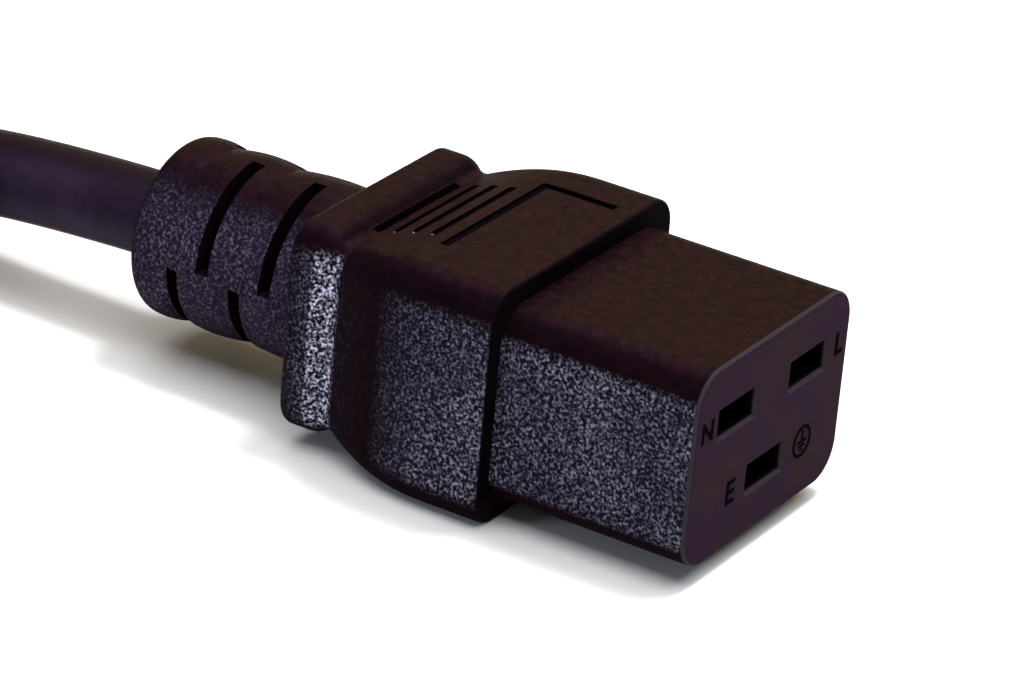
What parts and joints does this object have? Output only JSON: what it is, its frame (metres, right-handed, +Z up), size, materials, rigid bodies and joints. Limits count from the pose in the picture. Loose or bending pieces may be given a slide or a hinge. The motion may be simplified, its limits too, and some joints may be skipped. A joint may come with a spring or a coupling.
{
  "type": "c19 power connector",
  "caption": "Straight overmoulded cord connector with a slotted strain-relief boot, on a coiled round lead that ends in a matching shrouded plug.",
  "frame": {"origin": "centre of the connector's mating face", "axes": "+X out of the mating face, +Z up from the surface that the connector lies on, +Y to its far side"},
  "size_m": [0.1963, 0.119, 0.0417],
  "materials": {
    "body": "spark-eroded matte black PVC",
    "nose": "fine matte black nylon",
    "nylon": "natural nylon",
    "jacket": "smooth matte black PVC",
    "strap": "woven hook-and-loop",
    "contact_metal": "stamped",
    "pin_metal": "nickel-plated brass",
    "copper": "bare copper strand",
    "core_brown": "extruded PVC",
    "core_blue": "extruded PVC",
    "core_green": "extruded PVC with a yellow stripe"
  },
  "bodies": {
    "root": {"coil_tie": "strap", "conductor_earth": "copper", "conductor_line": "copper", "conductor_neutral": "copper", "contact_earth": "contact_metal", "contact_line": "contact_metal", "contact_neutral": "contact_metal", "cord_coil": "jacket", "cord_run": "jacket", "cord_tail": "jacket", "core_earth": "core_green", "core_line": "core_brown", "core_neutral": "core_blue", "jacket_end": "jacket", "nose_insert": "nose", "overmould": "body", "pin_earth": "pin_metal", "pin_line": "pin_metal", "pin_neutral": "pin_metal", "plug_carrier": "nose", "plug_conductor_earth": "copper", "plug_conductor_line": "copper", "plug_conductor_neutral": "copper", "plug_core_earth": "core_green", "plug_core_line": "core_brown", "plug_core_neutral": "core_blue", "plug_jacket_end": "jacket", "plug_overmould": "body", "plug_rear_cap": "nylon", "rear_cap": "nylon"}
  },
  "joints": []
}
